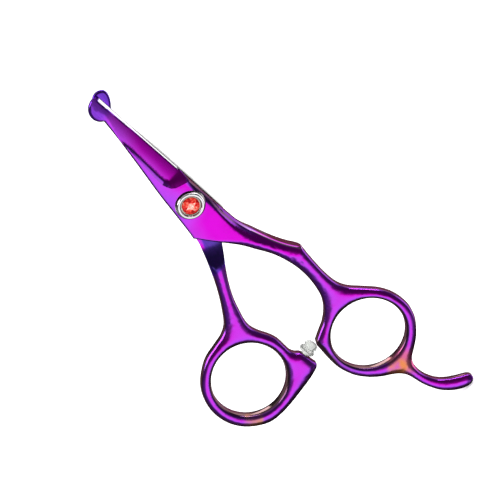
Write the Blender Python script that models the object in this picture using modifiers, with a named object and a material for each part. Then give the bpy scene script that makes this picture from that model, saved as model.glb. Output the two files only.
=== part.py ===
"""Grooming scissors with rounded safety tips, a finger rest and a jewelled tension screw.

Both halves are drawn flat: tips along +Y, jewel side along +Z, finger ring towards +X, with
z = 0 on the plane where the blades meet. The empty pivot_axis stands them up, so the tips point
along +Z and the jewel side faces -Y. The origin is on the pivot axis, on the nut's back face.
Numbers in this file are millimetres; MM turns them into metres.
"""

from math import atan2, cos, pi, radians, sin

import bmesh
import bpy

MM = 0.001

# Clearances
BLADE_CLEARANCE = 0.15  # each inner face stays this far from the contact plane
FIT = 0.25              # radial clearance of a turned piece in its bore

# Heights above the contact plane
BLADE_TOP = 2.75
RING_TOP = 2.1
COUNTERBORE_FLOOR = 1.25
NUT_SEAT = -1.85
NUT_FACE = -3.05
NUT_FLOOR = -2.1
NUT_BARREL_TOP = -0.4
BUSHING_TOP = 1.1
NYLON_WASHER_TOP = 1.7
SPRING_WASHER_TOP = 2.17
HEAD_UNDERSIDE = 2.3
HEAD_DISH = 2.75
HEAD_RIM = 3.8
SCREW_END = -1.75
CUP_FLOOR = 3.05
CUP_RIM = 3.4
GEM_BASE = 3.2
GEM_TABLE = 3.75

# Radii at the pivot
HEAD_RADIUS = 4.15
HEAD_DISH_RADIUS = 3.1
CUP_RADIUS = 2.9
GEM_RADIUS = 2.55
GEM_TABLE_RADIUS = 1.5
COUNTERBORE_RADIUS = 4.45
SHANK_RADIUS = 1.85
NYLON_WASHER_RADIUS = 4.0
SPRING_WASHER_RADIUS = 3.95
WASHER_BORE_RADIUS = 2.15
BUSHING_RADIUS = 2.8
NUT_BARREL_RADIUS = 3.0
NUT_FLANGE_RADIUS = 4.5
SPANNER_HOLE_OFFSET = 2.9
SPANNER_HOLE_RADIUS = 0.5

# Rings: centre, half width, half height
THUMB_HOLE = ((-20.6, -55.1), (10.8, 11.3))
FINGER_HOLE = ((13.5, -67.0), (10.85, 10.8))
RING_LEAN = radians(-14)

# Bumper, pushed into the lobe of the thumb ring
BUMPER_BASE = (-3.85, -60.0)
BUMPER_LEAN = atan2(0.217, 0.976)
BUMPER_STEM_RADIUS = 1.1
BUMPER_STEM_LENGTH = 2.4

EDGE_ROUND = 0.9        # width of the rounding along every outline
WALL_HALF = 0.4         # half of the straight wall of an unshaped plate

# Cutting edges, with x towards the edge: where each half's ends, the shared heel, the ground face
EDGE_TIP = (0.3, 43.3)
THUMB_EDGE_TIP = (2.3, 41.4)
EDGE_HEEL = (4.05, 10.2)
EDGE_THICKNESS = 0.5
GRIND_SLOPE = 0.2

# Each half: height of the flat side and height of the rounding, from the tang to the tip
FRONT_PROFILE = (
    (-102, RING_TOP, 1.4),
    (-34, RING_TOP, 1.4),
    (-19, 2.65, 0.8),
    (-12, BLADE_TOP, 0.5),
    (6, BLADE_TOP, 0.5),
    (16, 2.25, 0.45),
    (26, 1.7, 0.4),
    (37, 1.4, 0.4),
    (41, 1.7, 0.8),
    (45, 1.5, 0.8),
)

# Inner face of each half: flat to the crotch, then curving out to the full ring thickness
INNER_RAMP = ((-16.5, 0.15), (-18.5, -0.3), (-20.0, -0.95), (-21.4, -1.9), (-22.6, -3.0))


def clear_scene():
    for obj in list(bpy.data.objects):
        bpy.data.objects.remove(obj, do_unlink=True)


def collection(name):
    made = bpy.data.collections.new(name)
    bpy.context.scene.collection.children.link(made)
    return made


clear_scene()
PARTS = collection("grooming_scissors")
CUTTERS = collection("cutters")
PIVOT = bpy.data.objects.new("pivot_axis", None)
PIVOT.location = (0, NUT_FACE * MM, 0)
PIVOT.rotation_euler = (radians(90), 0, 0)
PARTS.objects.link(PIVOT)


def smooth_run(*points, steps=3):
    """Points of a smooth run through the given ones, without its last point."""
    ends = [points[0], *points, points[-1]]
    run = []
    for before, start, end, after in zip(ends, ends[1:], ends[2:], ends[3:]):
        for step in range(steps):
            t = step / steps
            weights = (
                (-t + 2 * t**2 - t**3) / 2,
                (2 - 5 * t**2 + 3 * t**3) / 2,
                (t + 4 * t**2 - 3 * t**3) / 2,
                (t**3 - t**2) / 2,
            )
            corners = (before, start, end, after)
            run.append(tuple(sum(w * c[axis] for w, c in zip(weights, corners)) for axis in (0, 1)))
    return run


def ring_hole(hole, count=48):
    (centre_x, centre_y), (half_width, half_height) = hole
    points = []
    for index in range(count):
        angle = 2 * pi * index / count
        across = half_width * cos(angle)
        along = half_height * sin(angle)
        x = centre_x + across * cos(RING_LEAN) - along * sin(RING_LEAN)
        y = centre_y + across * sin(RING_LEAN) + along * cos(RING_LEAN)
        points.append((x, y))
    return points


def finger_outline():
    """Finger half seen from the jewel side, clockwise from the cutting edge at the tip."""
    cutting_edge = [EDGE_TIP, (1.75, 30.3), (2.75, 21.0)]
    pivot_side = smooth_run(EDGE_HEEL, (4.5, 6), (5.25, -1.7), (6.15, -8.5), (6.85, -13.3), (7.95, -17.2),
                            (9.2, -20.8), (11.1, -25.6), (13.2, -29.5), (15.6, -32.8), steps=2)
    shank_outside = smooth_run((15.6, -32.8), (15.4, -37.7), (15.5, -43.8), (16.2, -48.6),
                               (17.8, -51.8), (20.9, -55.1), (24.2, -58.7), (26.4, -62.8),
                               (27.3, -67.6), (26.7, -71.5), (25.2, -74.5), (23.0, -77.4),
                               (20.4, -79.8), (18.4, -81.5), (17.4, -83.2), (17.1, -85.0))
    tang_upper = smooth_run((17.1, -85.0), (17.3, -87.4), (18.1, -89.8), (19.4, -92.0), (21.4, -93.9),
                            (24.0, -95.5), (26.4, -96.7))
    tang_end = smooth_run((26.4, -96.7), (27.5, -97.7), (27.2, -99.2), (25.6, -99.9))
    tang_lower = smooth_run((25.6, -99.9), (23.2, -99.4), (20.6, -97.9), (18.2, -95.6), (16.6, -93.0),
                            (15.4, -90.3), (14.6, -87.5), (13.8, -85.1), (12.3, -83.2))
    ring_outside = smooth_run((12.3, -83.2), (10.3, -81.8), (8.1, -80.5), (5.5, -78.4), (3.1, -75.6),
                              (1.6, -72.8), (0.6, -69.7), (0.2, -66.4), (0.16, -63.4))
    stop_face = [(0.16, -63.4), (0.16, -60.2)]
    shank_inside = smooth_run((0.7, -58.9), (3.2, -57.2), (5.9, -55.4), (8.5, -52.6), (10.2, -49.2),
                              (11.0, -44.5), (11.0, -39.7), (10.15, -34.9), (8.2, -29.4), (5.45, -24.6),
                              (2.9, -20.2), (-0.1, -16.1))
    lower_edge = [(-0.1, -16.1), (-5.75, -9.0)]
    spine = smooth_run((-5.5, -7.0), (-5.15, -0.7), (-4.7, 8.1), (-4.15, 14.9), (-3.6, 21.7), (-3.0, 30.5),
                       (-2.8, 36.2), steps=2)
    ball = smooth_run((-2.8, 36.2), (-3.9, 37.3), (-4.6, 38.6), (-4.75, 40.1), (-4.35, 41.5),
                      (-3.45, 42.8), (-2.3, 43.6), (-0.9, 44.0), EDGE_TIP)
    return [*cutting_edge, *pivot_side, *shank_outside, *tang_upper, *tang_end, *tang_lower,
            *ring_outside, *stop_face, *shank_inside, *lower_edge, *spine, *ball]


def thumb_outline():
    """Thumb half seen from the jewel side, clockwise from the spine at the tip."""
    ball = smooth_run((-2.3, 41.4), (-1.8, 42.7), (-0.8, 43.6), (0.4, 44.0), (1.6, 43.9), (2.7, 43.2),
                      (3.05, 42.1), (2.75, 40.6), (2.0, 38.9), (1.0, 37.4))
    spine = smooth_run((1.0, 37.4), (1.65, 31.0), (2.4, 25.6), (3.7, 15.9), (4.5, 8.1), (5.45, -0.7),
                       (6.15, -8.4), steps=2)
    lower_edge = [(6.15, -8.4), (-0.3, -16.1)]
    shank_inside = smooth_run((-1.9, -18.8), (-4.15, -22.6), (-6.45, -27.0), (-8.45, -31.9),
                              (-9.65, -36.4), (-10.45, -40.2), (-10.4, -42.9), (-9.5, -45.5), (-8.0, -48.3),
                              (-7.0, -51.0), (-6.7, -54.0), (-6.5, -56.2))
    lobe = smooth_run((-6.5, -56.2), (-5.8, -57.7), (-4.9, -58.5), (-4.35, -59.4), steps=2)
    bumper_seat = [(-4.35, -59.4)]
    lobe_corner = smooth_run((-3.25, -64.4), (-3.6, -65.1), (-4.6, -65.8), steps=2)
    ring_bottom = smooth_run((-4.6, -65.8), (-7.6, -67.0), (-11.4, -68.1), (-15.6, -69.2), (-20.2, -70.0),
                             (-24.5, -69.8), (-28.7, -67.6))
    ring_outside = smooth_run((-28.7, -67.6), (-31.7, -64.7), (-33.7, -61.0), (-34.6, -56.6), (-34.2, -52.2),
                              (-32.6, -48.2), (-29.8, -44.8), (-26.0, -41.9), (-21.8, -40.4))
    shank_outside = smooth_run((-21.8, -40.4), (-18.4, -39.2), (-15.8, -37.2), (-13.6, -33.6),
                               (-11.5, -29.4), (-9.6, -24.8), (-8.0, -20.2), (-6.7, -16.0), (-5.6, -11.6),
                               (-5.2, -6.0))
    cutting_edge = [(-5.2, -6.0), (-5.1, -2.0), (-4.6, 5.0), (-4.0, 10.2), (-3.25, 20.0), (-2.9, 30.3)]
    return [*ball, *spine, *lower_edge, *shank_inside, *lobe, *bumper_seat, *lobe_corner, *ring_bottom,
            *ring_outside, *shank_outside, *cutting_edge]


def place(obj, group, parent=PIVOT):
    group.objects.link(obj)
    obj.parent = parent
    if group is CUTTERS:
        obj.hide_render = True
        obj.display_type = "WIRE"
    return obj


def plate(name, group, outlines, extrude, bevel=0.0):
    """Mesh plate with the given outlines: the first is the rim, the others are holes."""
    curve = bpy.data.curves.new(name, "CURVE")
    curve.dimensions = "2D"
    curve.fill_mode = "BOTH"
    curve.extrude = extrude * MM
    curve.bevel_depth = bevel * MM
    curve.bevel_resolution = 1
    curve.offset = -bevel * MM
    for outline in outlines:
        spline = curve.splines.new("POLY")
        spline.points.add(len(outline) - 1)
        spline.use_cyclic_u = True
        for point, (x, y) in zip(spline.points, outline):
            point.co = (x * MM, y * MM, 0, 1)
    drawn = place(bpy.data.objects.new(name, curve), group)
    bpy.context.view_layer.update()
    evaluated = drawn.evaluated_get(bpy.context.evaluated_depsgraph_get())
    mesh = bpy.data.meshes.new_from_object(evaluated)
    bpy.data.objects.remove(drawn)
    bpy.data.curves.remove(curve)
    shape = bmesh.new()
    shape.from_mesh(mesh)
    bmesh.ops.remove_doubles(shape, verts=shape.verts, dist=1e-6)
    bmesh.ops.recalc_face_normals(shape, faces=shape.faces)
    shape.to_mesh(mesh)
    shape.free()
    mesh.name = name
    return place(bpy.data.objects.new(name, mesh), group)


def profile_at(y):
    """Height of the flat side and of its rounding at a distance y along the half."""
    for (y0, top0, round0), (y1, top1, round1) in zip(FRONT_PROFILE, FRONT_PROFILE[1:]):
        if y <= y1:
            t = (y - y0) / (y1 - y0)
            return top0 + t * (top1 - top0), round0 + t * (round1 - round0)
    return FRONT_PROFILE[-1][1:]


def shape_half(obj, side):
    """Give an even plate the thickness of a half; side is 1 for the front half, -1 for the rear."""
    shape = bmesh.new()
    shape.from_mesh(obj.data)
    for station, _top, _rounding in FRONT_PROFILE[1:-1]:
        geometry = [*shape.verts, *shape.edges, *shape.faces]
        bmesh.ops.bisect_plane(shape, geom=geometry, dist=1e-7, plane_co=(0, station * MM, 0),
                               plane_no=(0, 1, 0))
    for vertex in shape.verts:
        top, rounding = profile_at(vertex.co.y / MM)
        height = side * vertex.co.z / MM
        straight = max(-1.0, min(1.0, height / WALL_HALF))
        curved = (height - straight * WALL_HALF) / EDGE_ROUND
        outer = top if height > 0 else RING_TOP
        vertex.co.z = side * (straight * (outer - rounding) + curved * rounding) * MM
    shape.to_mesh(obj.data)
    shape.free()


def boolean(target, tool, operation="DIFFERENCE"):
    modifier = target.modifiers.new(f"{operation.lower()} {tool.name}", "BOOLEAN")
    modifier.operation = operation
    modifier.object = tool
    modifier.solver = "EXACT"


def turned(name, group, profile, steps=32):
    """Solid of revolution about Z; the profile starts and ends on the axis or is closed on itself."""
    mesh = bpy.data.meshes.new(name)
    mesh.from_pydata([(radius * MM, 0, height * MM) for radius, height in profile],
                     [(index, index + 1) for index in range(len(profile) - 1)], [])
    obj = place(bpy.data.objects.new(name, mesh), group)
    screw = obj.modifiers.new("turn", "SCREW")
    screw.axis = "Z"
    screw.steps = steps
    screw.render_steps = steps
    screw.use_merge_vertices = True
    screw.merge_threshold = 0.00001
    screw.use_smooth_shade = False
    return obj


def closed_profile(*points):
    """A turned ring's section, closed by repeating its first point."""
    return [*points, points[0]]


def cylinder_profile(radius, top, bottom):
    return [(0, top), (radius, top), (radius, bottom), (0, bottom)]


def inner_face_cutter(name, side):
    """Prism that grinds the inner face of a half flat and runs out below the crotch."""
    line = [(60, BLADE_CLEARANCE), *INNER_RAMP, (-22.6, -9), (60, -9)]
    cutter = plate(name, CUTTERS, [[(y, side * height) for y, height in line]], extrude=40)
    cutter.rotation_euler = (radians(90), 0, radians(90))
    return cutter


def grind_cutter(name, side, edge_tip):
    """Hollow ground face of a blade, from its curved end at the pivot to the tip."""
    outline = [(-2.45, 26.5), (-2.65, 20.0), (-2.5, 13.5), (-2.2, 10.2), (-1.7, 8.9), (-1.0, 7.7),
               (0.1, 6.9), (1.7, 6.5), (3.4, 6.1), (9.0, 5.6), (9.0, 47.0), (-8.0, 47.0), (-8.0, 36.0),
               (-3.6, 31.5)]
    cutter = plate(name, CUTTERS, [[(side * x, y) for x, y in outline]], extrude=3)
    run = (EDGE_HEEL[0] - edge_tip[0]) / (edge_tip[1] - EDGE_HEEL[1])
    for vertex in cutter.data.vertices:
        x = side * vertex.co.x / MM
        y = vertex.co.y / MM
        from_edge = EDGE_HEEL[0] - run * (y - EDGE_HEEL[1]) - x
        height = EDGE_THICKNESS + GRIND_SLOPE * from_edge
        if side * vertex.co.z > 0:
            height = 2 * BLADE_TOP
        vertex.co.z = side * height * MM
    return cutter


def drill(name, radius, top, bottom, at=(0, 0)):
    cutter = turned(name, CUTTERS, cylinder_profile(radius, top, bottom), steps=24)
    cutter.location = (at[0] * MM, at[1] * MM, 0)
    return cutter


def build_finger_blade():
    blade = plate("finger_blade", PARTS, [finger_outline(), ring_hole(FINGER_HOLE)], WALL_HALF, EDGE_ROUND)
    shape_half(blade, 1)
    boolean(blade, inner_face_cutter("finger_inner_face", 1))
    boolean(blade, grind_cutter("finger_grind", 1, EDGE_TIP))
    boolean(blade, drill("finger_bore", BUSHING_RADIUS + FIT, 4, -1))
    boolean(blade, drill("finger_counterbore", COUNTERBORE_RADIUS, 4, COUNTERBORE_FLOOR))
    return blade


def build_thumb_blade():
    blade = plate("thumb_blade", PARTS, [thumb_outline(), ring_hole(THUMB_HOLE)], WALL_HALF, EDGE_ROUND)
    shape_half(blade, -1)
    boolean(blade, inner_face_cutter("thumb_inner_face", -1))
    boolean(blade, grind_cutter("thumb_grind", -1, THUMB_EDGE_TIP))
    boolean(blade, drill("thumb_bore", NUT_BARREL_RADIUS + FIT, 1, -4))
    boolean(blade, drill("thumb_nut_recess", NUT_FLANGE_RADIUS + FIT, NUT_SEAT, -4))
    stem_hole = turned("bumper_hole", CUTTERS,
                       cylinder_profile(BUMPER_STEM_RADIUS + FIT, 2, -BUMPER_STEM_LENGTH - 0.3), steps=16)
    aim_along_bumper(stem_hole)
    boolean(blade, stem_hole)
    return blade


def aim_along_bumper(obj):
    obj.rotation_euler = (0, radians(90), BUMPER_LEAN)
    obj.location = (BUMPER_BASE[0] * MM, BUMPER_BASE[1] * MM, 0)


def build_pivot_screw():
    profile = [(0, HEAD_DISH), (HEAD_DISH_RADIUS, HEAD_DISH), (HEAD_DISH_RADIUS, HEAD_RIM - 0.5),
               (HEAD_RADIUS - 0.5, HEAD_RIM), (HEAD_RADIUS - 0.25, HEAD_RIM),
               (HEAD_RADIUS, HEAD_RIM - 0.25), (HEAD_RADIUS, HEAD_UNDERSIDE), (SHANK_RADIUS, HEAD_UNDERSIDE),
               (SHANK_RADIUS, SCREW_END + 0.3), (SHANK_RADIUS - 0.3, SCREW_END), (0, SCREW_END)]
    return turned("pivot_screw", PARTS, profile, steps=40)


def build_gem_cup():
    wall = 0.15
    profile = [(0, CUP_FLOOR), (CUP_RADIUS - wall, CUP_FLOOR), (CUP_RADIUS - wall, CUP_RIM),
               (CUP_RADIUS, CUP_RIM), (CUP_RADIUS, CUP_FLOOR - wall), (0, CUP_FLOOR - wall)]
    return turned("gem_cup", PARTS, profile, steps=32)


def build_gem():
    profile = [(0, GEM_TABLE), (GEM_TABLE_RADIUS, GEM_TABLE), (GEM_RADIUS - 0.25, GEM_TABLE - 0.2),
               (GEM_RADIUS, GEM_TABLE - 0.4), (GEM_RADIUS, GEM_BASE), (0, GEM_BASE)]
    return turned("gem", PARTS, profile, steps=12)


def build_spring_washer():
    thickness = 0.17
    drop = 0.15
    top = SPRING_WASHER_TOP
    profile = closed_profile((WASHER_BORE_RADIUS, top), (SPRING_WASHER_RADIUS, top - drop),
                             (SPRING_WASHER_RADIUS, top - drop - thickness),
                             (WASHER_BORE_RADIUS, top - thickness))
    return turned("spring_washer", PARTS, profile)


def build_nylon_washer():
    base = COUNTERBORE_FLOOR + 0.2
    profile = closed_profile((WASHER_BORE_RADIUS, NYLON_WASHER_TOP), (NYLON_WASHER_RADIUS, NYLON_WASHER_TOP),
                             (NYLON_WASHER_RADIUS, base), (WASHER_BORE_RADIUS, base))
    return turned("nylon_washer", PARTS, profile)


def build_pivot_bushing():
    bore = SHANK_RADIUS + FIT
    base = BLADE_CLEARANCE + 0.1
    profile = closed_profile((bore, BUSHING_TOP), (BUSHING_RADIUS, BUSHING_TOP), (BUSHING_RADIUS, base),
                             (bore, base))
    return turned("pivot_bushing", PARTS, profile)


def build_pivot_nut():
    bore = SHANK_RADIUS + FIT
    flange_top = NUT_SEAT - 0.2
    profile = [(0, NUT_FLOOR), (bore, NUT_FLOOR), (bore, NUT_BARREL_TOP), (NUT_BARREL_RADIUS, NUT_BARREL_TOP),
               (NUT_BARREL_RADIUS, flange_top), (NUT_FLANGE_RADIUS, flange_top),
               (NUT_FLANGE_RADIUS, NUT_FACE + 0.2), (NUT_FLANGE_RADIUS - 0.2, NUT_FACE), (0, NUT_FACE)]
    nut = turned("pivot_nut", PARTS, profile, steps=40)
    for index, offset in enumerate((-SPANNER_HOLE_OFFSET, SPANNER_HOLE_OFFSET)):
        hole = drill(f"spanner_hole_{index}", SPANNER_HOLE_RADIUS, NUT_FACE + 0.6, NUT_FACE - 1, (offset, 0))
        boolean(nut, hole)
    return nut


def build_bumper():
    stem = BUMPER_STEM_RADIUS
    profile = [(0, 3.75), (0.9, 3.65), (1.7, 3.3), (2.2, 2.85), (2.1, 2.6), (2.5, 2.3), (2.5, 1.8),
               (2.3, 1.5), (2.4, 1.2), (2.2, 0.9), (1.7, 0.7), (1.6, 0.3), (stem, 0.3),
               (stem, 0.2 - BUMPER_STEM_LENGTH), (stem - 0.2, -BUMPER_STEM_LENGTH), (0, -BUMPER_STEM_LENGTH)]
    bumper = turned("bumper", PARTS, profile, steps=24)
    aim_along_bumper(bumper)
    return bumper


def finish(obj, name, colour, roughness, metallic):
    """Own Principled material and smooth rounds for one sub-part."""
    material = bpy.data.materials.new(name)
    material.use_nodes = True
    shader = material.node_tree.nodes["Principled BSDF"]
    shader.inputs["Base Color"].default_value = (*colour, 1)
    shader.inputs["Roughness"].default_value = roughness
    shader.inputs["Metallic"].default_value = metallic
    obj.data.materials.append(material)
    obj.data.shade_smooth()
    obj.data.set_sharp_from_angle(angle=radians(35))


finish(build_finger_blade(), "violet_coated_steel", (0.55, 0.02, 0.62), 0.18, 1.0)
finish(build_thumb_blade(), "magenta_coated_steel", (0.45, 0.03, 0.6), 0.18, 1.0)
finish(build_pivot_screw(), "polished_steel", (0.85, 0.86, 0.88), 0.1, 1.0)
finish(build_gem_cup(), "setting_metal", (0.8, 0.8, 0.8), 0.2, 1.0)
finish(build_gem(), "red_stone", (0.85, 0.05, 0.03), 0.05, 0.0)
finish(build_spring_washer(), "spring_steel", (0.6, 0.6, 0.62), 0.3, 1.0)
finish(build_nylon_washer(), "white_nylon", (0.85, 0.85, 0.82), 0.5, 0.0)
finish(build_pivot_bushing(), "natural_nylon", (0.82, 0.82, 0.78), 0.5, 0.0)
finish(build_pivot_nut(), "nut_steel", (0.75, 0.76, 0.78), 0.2, 1.0)
finish(build_bumper(), "clear_plastic", (0.85, 0.86, 0.86), 0.15, 0.0)
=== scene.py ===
"""Looks of the ball-tip grooming scissors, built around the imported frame.

Each half is drawn flat in its own frame, in millimetres: u towards the cutting edge, v towards
the tip and h away from the contact plane between the blades. The finger half uses it as it is,
the thumb half turned by half a turn about v.
"""
from math import atan2, cos, pi, radians, sin

import bpy
import numpy as np
from mathutils import Matrix, Vector
from mathutils.geometry import delaunay_2d_cdt


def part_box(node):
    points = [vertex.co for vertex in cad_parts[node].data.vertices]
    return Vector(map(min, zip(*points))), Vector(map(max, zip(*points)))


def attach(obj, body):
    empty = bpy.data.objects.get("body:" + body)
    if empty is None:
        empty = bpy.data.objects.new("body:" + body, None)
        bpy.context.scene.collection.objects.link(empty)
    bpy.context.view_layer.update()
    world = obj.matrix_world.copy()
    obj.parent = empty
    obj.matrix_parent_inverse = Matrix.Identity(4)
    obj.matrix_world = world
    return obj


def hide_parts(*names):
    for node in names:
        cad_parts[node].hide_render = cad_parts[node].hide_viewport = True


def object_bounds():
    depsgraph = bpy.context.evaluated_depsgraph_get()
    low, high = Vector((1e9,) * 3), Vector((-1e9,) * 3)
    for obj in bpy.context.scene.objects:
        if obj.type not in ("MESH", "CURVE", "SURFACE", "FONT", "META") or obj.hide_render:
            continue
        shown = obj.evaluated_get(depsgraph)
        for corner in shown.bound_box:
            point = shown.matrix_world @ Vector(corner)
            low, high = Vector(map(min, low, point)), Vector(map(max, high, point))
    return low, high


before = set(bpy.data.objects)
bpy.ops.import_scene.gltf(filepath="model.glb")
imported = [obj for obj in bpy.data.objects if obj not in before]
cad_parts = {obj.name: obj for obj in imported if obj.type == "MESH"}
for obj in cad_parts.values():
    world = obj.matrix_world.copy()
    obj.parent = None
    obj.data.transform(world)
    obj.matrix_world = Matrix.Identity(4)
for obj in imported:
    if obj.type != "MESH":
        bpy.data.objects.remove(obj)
cad_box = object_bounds()

MM = 0.001
bumper_low, bumper_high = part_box("bumper")
CONTACT_Y = (bumper_low.y + bumper_high.y) / 2  # the plane where the blades meet
BLADE_CLEARANCE = 0.15  # each inner face from that plane

# Sampling of the fine meshes
OUTLINE_STEP = 0.35
GRID_STEP = 0.45
EDGE_LOOPS = (0.06, 0.16, 0.3, 0.48, 0.7, 0.95, 1.25, 1.6, 2.0, 2.4)

# Thickness: distance v along a half, height of the flat outer side
OUTER_TOP = ((-102, 1.75), (-90, 2.0), (-80, 2.1), (-34, 2.1), (-26, 2.3), (-19, 2.65), (-12, 2.75),
             (6, 2.75), (16, 2.3), (26, 1.78), (35, 1.45), (38, 1.45), (41, 1.7), (45, 1.6))
INNER_TOP = 2.1  # height of the rounded back of the handles
CROWN = 0.012  # the outer side falls by this times u squared
COUNTERBORE_FLOOR = 1.25
NUT_SEAT = 1.85

EDGE_TIP = (0.3, 43.3)
THUMB_EDGE_TIP = (2.3, 41.4)
EDGE_HEEL = (4.05, 10.2)
THUMB_HOLE = ((-20.6, -55.1), (10.8, 11.3))
FINGER_HOLE = ((13.5, -67.0), (10.85, 10.8))
RING_LEAN = radians(-14)


# ---- outlines

def smooth_line(points, spacing=OUTLINE_STEP):
    """Points at an even spacing on a smooth curve through the given ones, the last one left out."""
    control = np.array([points[0], *points, points[-1]], float)
    dense = []
    for before, start, end, after in zip(control, control[1:], control[2:], control[3:]):
        for t in np.arange(0, 1, 1 / 24):
            dense.append((before * (-t + 2 * t**2 - t**3) + start * (2 - 5 * t**2 + 3 * t**3)
                          + end * (t + 4 * t**2 - 3 * t**3) + after * (t**3 - t**2)) / 2)
    dense.append(control[-1])
    return even_points(np.array(dense), spacing)


def even_points(line, spacing=OUTLINE_STEP):
    """Evenly spaced points along a polyline, the last one left out."""
    line = np.array(line, float)
    lengths = np.concatenate([[0], np.cumsum(np.hypot(*np.diff(line, axis=0).T))])
    count = max(1, round(lengths[-1] / spacing))
    stations = np.linspace(0, lengths[-1], count + 1)[:-1]
    return np.stack([np.interp(stations, lengths, line[:, axis]) for axis in (0, 1)], axis=1)


def ring_hole(hole):
    (centre_x, centre_y), (half_width, half_height) = hole
    angles = np.arange(200) * 2 * pi / 200
    across = half_width * np.cos(angles)
    along = half_height * np.sin(angles)
    x = centre_x + across * cos(RING_LEAN) - along * sin(RING_LEAN)
    y = centre_y + across * sin(RING_LEAN) + along * cos(RING_LEAN)
    return np.stack([x, y], axis=1)


def finger_runs():
    """Outline of the finger half, clockwise from the tip, as (kind of edge, points)."""
    return [
        ("cutting", even_points([EDGE_TIP, (1.75, 30.3), (2.75, 21.0), EDGE_HEEL])),
        ("flute", smooth_line([
            EDGE_HEEL, (4.5, 6), (5.25, -1.7), (6.15, -8.5), (6.85, -13.3), (7.95, -17.2),
            (9.2, -20.8), (11.1, -25.6), (13.2, -29.5), (15.6, -32.8)])),
        ("right", smooth_line([
            (15.6, -32.8), (15.4, -37.7), (15.5, -43.8), (16.2, -48.6), (17.8, -51.8),
            (20.9, -55.1), (24.2, -58.7), (26.4, -62.8), (27.3, -67.6), (26.7, -71.5),
            (25.2, -74.5), (23.0, -77.4), (20.4, -79.8), (18.4, -81.5), (17.4, -83.2),
            (17.1, -85.0), (17.3, -87.4), (18.1, -89.8), (19.4, -92.0), (21.4, -93.9),
            (24.0, -95.5), (26.4, -96.7), (27.3, -97.5), (27.5, -98.1)])),
        ("left", smooth_line([
            (27.5, -98.1), (27.2, -99.2), (25.6, -99.9), (23.2, -99.4), (20.6, -97.9),
            (18.2, -95.6), (16.6, -93.0), (15.4, -90.3), (14.6, -87.5), (13.8, -85.1),
            (12.3, -83.2), (10.3, -81.8), (8.1, -80.5), (5.5, -78.4), (3.1, -75.6), (1.6, -72.8),
            (0.6, -69.7), (0.2, -66.4), (0.16, -63.4)])),
        ("left", even_points([(0.16, -63.4), (0.16, -60.2), (0.7, -58.9)])),
        ("left", smooth_line([
            (0.7, -58.9), (3.2, -57.2), (5.9, -55.4), (8.5, -52.6), (10.2, -49.2), (11.0, -44.5),
            (11.0, -39.7), (10.15, -34.9), (8.2, -29.4), (5.45, -24.6), (2.9, -20.2), (-0.1, -16.1)])),
        ("crotch", even_points([(-0.1, -16.1), (-5.75, -9.0)])),
        ("spine", smooth_line([
            (-5.75, -9.0), (-5.5, -7.0), (-5.15, -0.7), (-4.7, 8.1), (-4.15, 14.9), (-3.6, 21.7),
            (-3.0, 30.5), (-2.8, 36.2)])),
        ("ball", smooth_line([
            (-2.8, 36.2), (-4.05, 37.2), (-4.7, 38.5), (-4.8, 40.1), (-4.4, 41.5), (-3.45, 42.8),
            (-2.3, 43.6), (-0.9, 44.0), EDGE_TIP])),
    ]


def thumb_runs():
    """Outline of the thumb half seen from the jewel side, clockwise from its ball tip."""
    return [
        ("ball", smooth_line([
            (-2.3, 41.4), (-1.8, 42.7), (-0.8, 43.7), (0.4, 44.15), (1.7, 44.0), (2.8, 43.2),
            (3.1, 42.0), (2.8, 40.5), (2.05, 38.9), (1.0, 37.4)])),
        ("spine", smooth_line([
            (1.0, 37.4), (1.65, 31.0), (2.4, 25.6), (3.7, 15.9), (4.5, 8.1), (5.45, -0.7),
            (6.15, -8.4)])),
        ("crotch", even_points([(6.15, -8.4), (-0.3, -16.1)])),
        ("right", smooth_line([
            (-0.3, -16.1), (-1.9, -18.8), (-4.15, -22.6), (-6.45, -27.0), (-8.45, -31.9),
            (-9.65, -36.4), (-10.45, -40.2), (-10.4, -42.9), (-9.5, -45.5), (-8.0, -48.3),
            (-7.0, -51.0), (-6.7, -54.0), (-6.5, -56.2), (-5.8, -57.7), (-4.9, -58.5),
            (-4.35, -59.4)])),
        ("right", even_points([(-4.35, -59.4), (-3.25, -64.4)])),
        ("left", smooth_line([
            (-3.25, -64.4), (-3.6, -65.1), (-4.6, -65.8), (-7.6, -67.0), (-11.4, -68.1),
            (-15.6, -69.2), (-20.2, -70.0), (-24.5, -69.8), (-28.7, -67.6), (-31.7, -64.7),
            (-33.7, -61.0), (-34.6, -56.6), (-34.2, -52.2), (-32.6, -48.2), (-29.8, -44.8),
            (-26.0, -41.9), (-21.8, -40.4), (-18.4, -39.2), (-15.8, -37.2), (-13.6, -33.6),
            (-11.5, -29.4), (-9.6, -24.8), (-8.0, -20.2), (-6.7, -16.0), (-5.6, -11.6), (-5.2, -6.0)])),
        ("hip", smooth_line([(-5.2, -6.0), (-5.1, -2.0), (-4.6, 5.0), (-4.0, 10.2)])),
        ("cutting", even_points([(-4.0, 10.2), (-3.25, 20.0), (-2.9, 30.3), (-2.3, 41.4)])),
    ]


# ---- plane geometry

def distances(points, loop):
    """Distance from each point to a closed loop, and the index of the nearest segment."""
    start = loop
    step = np.roll(loop, -1, axis=0) - start
    length_squared = (step**2).sum(1)
    best = np.empty(len(points))
    nearest = np.empty(len(points), int)
    for first in range(0, len(points), 2000):
        block = points[first:first + 2000]
        offset = block[:, None, :] - start[None, :, :]
        along = np.clip((offset * step).sum(2) / length_squared, 0, 1)
        gap = ((offset - along[:, :, None] * step)**2).sum(2)
        index = gap.argmin(1)
        nearest[first:first + 2000] = index
        best[first:first + 2000] = np.sqrt(gap[np.arange(len(block)), index])
    return best, nearest


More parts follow.
